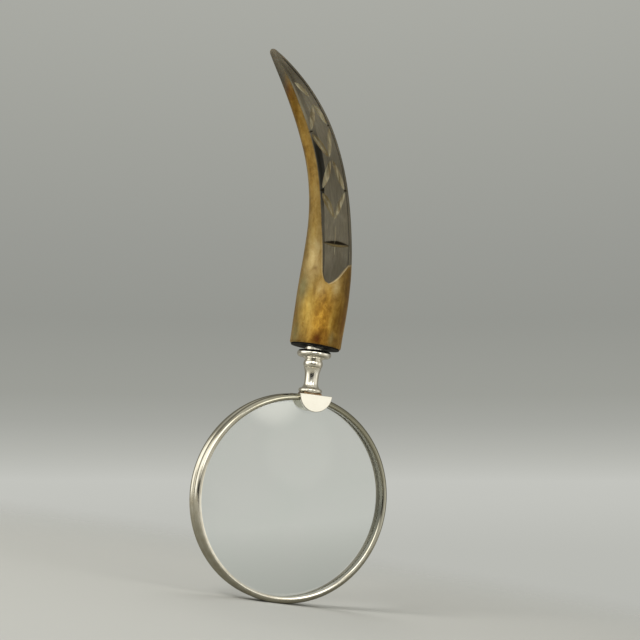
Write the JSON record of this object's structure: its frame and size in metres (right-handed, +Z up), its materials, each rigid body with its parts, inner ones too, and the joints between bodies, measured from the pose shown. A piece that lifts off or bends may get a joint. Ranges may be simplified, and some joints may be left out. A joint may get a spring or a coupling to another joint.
{
  "type": "magnifying glass",
  "caption": "Hand-held magnifying glass: large round lens in a polished double-bead rim, turned collar, curved horn handle with a dark flat carved with diamonds and a cross.",
  "frame": {"origin": "lowest point of the rim, on the vertical through the lens centre", "axes": "+Z up along the handle from the rim, -Y the front face with the carved flat, -X the side that the horn's tip bends towards"},
  "size_m": [0.1, 0.0258, 0.264],
  "materials": {
    "lens_glass": "polished",
    "packing": "matte",
    "silver_plate": "polished silver plate, slightly warm",
    "stud_steel": "plain",
    "black_disc": "polished",
    "plug_wood": "plain",
    "horn": "polished horn, honey at the base, charcoal on the carved flat"
  },
  "bodies": {
    "root": {"lens": "lens_glass", "lens_liner": "packing", "rim_band": "silver_plate", "saddle_block": "silver_plate", "saddle_front_plate": "silver_plate", "saddle_rear_plate": "silver_plate", "lower_flange": "silver_plate", "neck_spool": "silver_plate", "bead_ring": "silver_plate", "dome_cap": "silver_plate", "mount_stud": "stud_steel", "horn_end_disc": "black_disc", "horn_core_plug": "plug_wood", "horn_handle": "horn"}
  },
  "joints": []
}
